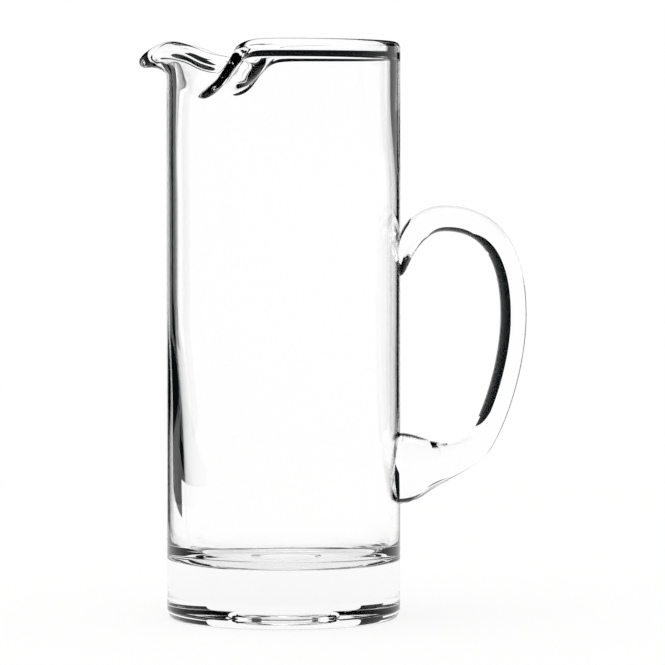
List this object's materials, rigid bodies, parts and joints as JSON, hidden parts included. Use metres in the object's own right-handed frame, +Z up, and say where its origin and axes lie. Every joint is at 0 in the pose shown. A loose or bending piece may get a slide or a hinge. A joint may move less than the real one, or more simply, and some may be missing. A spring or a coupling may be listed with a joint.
{
  "type": "cocktail pitcher",
  "caption": "Tall straight-sided clear glass pitcher with a heavy base, a pinched pouring spout in a rounded rim, and an applied loop handle of solid glass rod.",
  "frame": {"origin": "centre of the foot, on the vessel's axis, in the plane that rests on the table", "axes": "+Z up along the vessel's axis, +X towards the handle, -X towards the pouring spout"},
  "size_m": [0.1683, 0.1016, 0.2499],
  "materials": {
    "vessel_glass": "clear fire-polished blown glass",
    "handle_glass": "clear fire-polished glass rod, drawn by hand"
  },
  "bodies": {
    "root": {"vessel": "vessel_glass", "handle": "handle_glass"}
  },
  "joints": []
}
